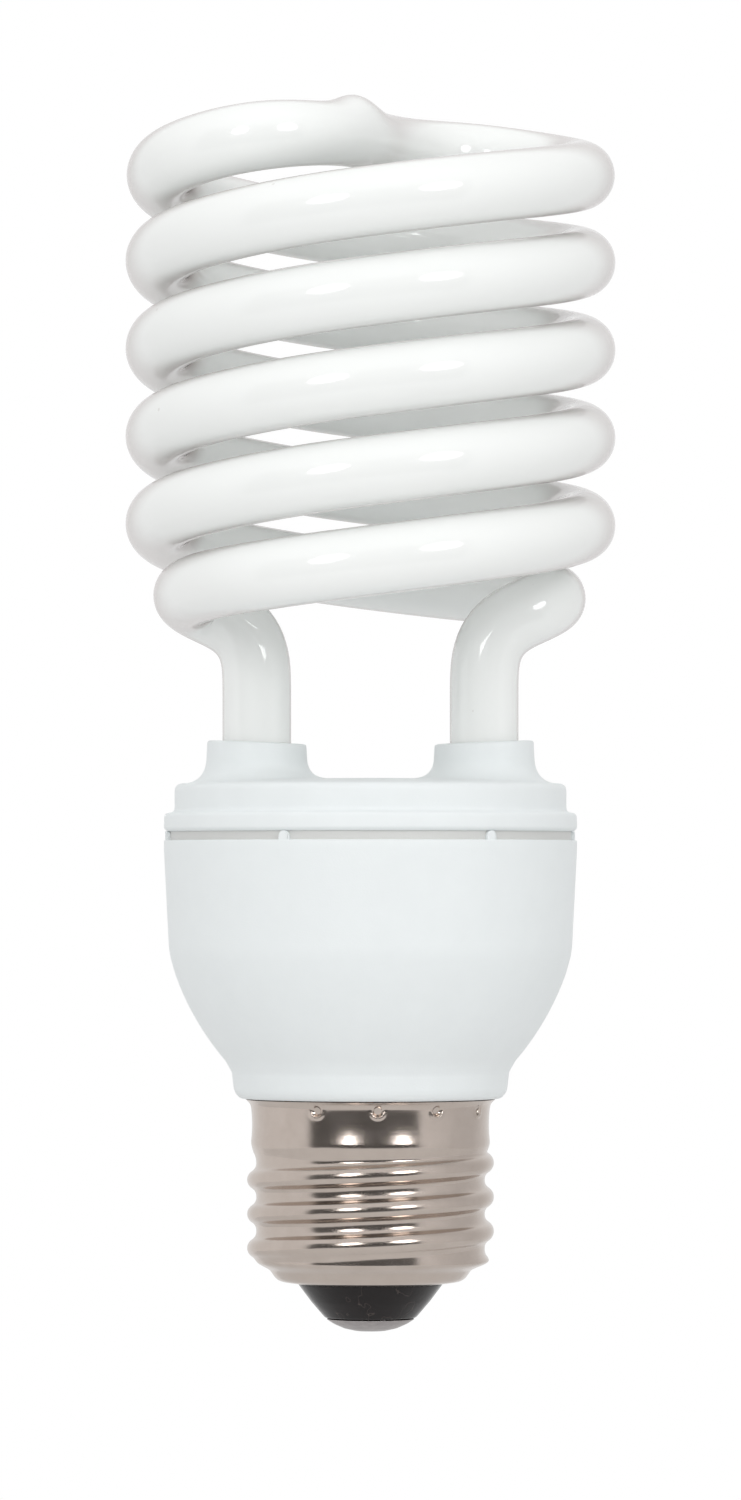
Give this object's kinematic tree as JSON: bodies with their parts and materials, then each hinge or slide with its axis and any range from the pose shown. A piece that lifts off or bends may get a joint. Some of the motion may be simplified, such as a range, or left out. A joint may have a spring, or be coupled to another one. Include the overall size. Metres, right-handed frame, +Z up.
{
  "type": "compact fluorescent light bulb",
  "caption": "Spiral fluorescent light bulb: a two-start glass coil on two legs, a white ballast housing with a collared cap, and a medium screw base.",
  "frame": {"origin": "tip of the centre contact, on the axis of the screw base", "axes": "+Z up along the axis from the contact towards the coil; the two legs of the tube stand on the X axis"},
  "size_m": [0.052, 0.052, 0.1308],
  "materials": {
    "white_glass": "glossy, coated inside",
    "white_plastic": "fine matte",
    "nickel_plate": "bright nickel plate",
    "black_glass": "glossy",
    "contact_metal": "dull tinned",
    "solder": "soft bright",
    "cement": "matt",
    "board": "matt",
    "copper_wire": "enamelled",
    "tinned_wire": "tinned",
    "ferrite": "matt",
    "black_resin": "satin",
    "bobbin_plastic": "satin",
    "can_sleeve": "glossy sleeve",
    "bung_rubber": "matt",
    "dipped_resin": "glossy",
    "resistor_paint": "glossy",
    "disc_resin": "glossy",
    "sleeve_fabric": "braided"
  },
  "bodies": {
    "root": {"glass_tube": "white_glass", "tube_cement": "cement", "top_cap": "white_plastic", "ballast_housing": "white_plastic", "screw_shell": "nickel_plate", "base_insulator": "black_glass", "centre_contact": "contact_metal", "contact_solder": "solder", "smoothing_capacitor": "can_sleeve", "capacitor_bung": "bung_rubber", "choke_core": "ferrite", "choke_bobbin": "bobbin_plastic", "choke_winding": "copper_wire", "choke_pins": "tinned_wire", "transformer_ring": "ferrite", "transformer_windings": "copper_wire", "switching_transistors": "black_resin", "rectifier_diodes": "black_resin", "trigger_diac": "dipped_resin", "resistors": "resistor_paint", "filter_choke": "ferrite", "resonant_capacitor": "dipped_resin", "coupling_capacitor": "dipped_resin", "start_thermistor": "disc_resin", "fusible_resistor": "resistor_paint", "fuse_sleeve": "sleeve_fabric", "live_wire": "copper_wire", "neutral_wire": "copper_wire", "wrap_pins": "tinned_wire", "tube_leads": "tinned_wire", "circuit_board": "board", "solder_joints": "solder"}
  },
  "joints": []
}
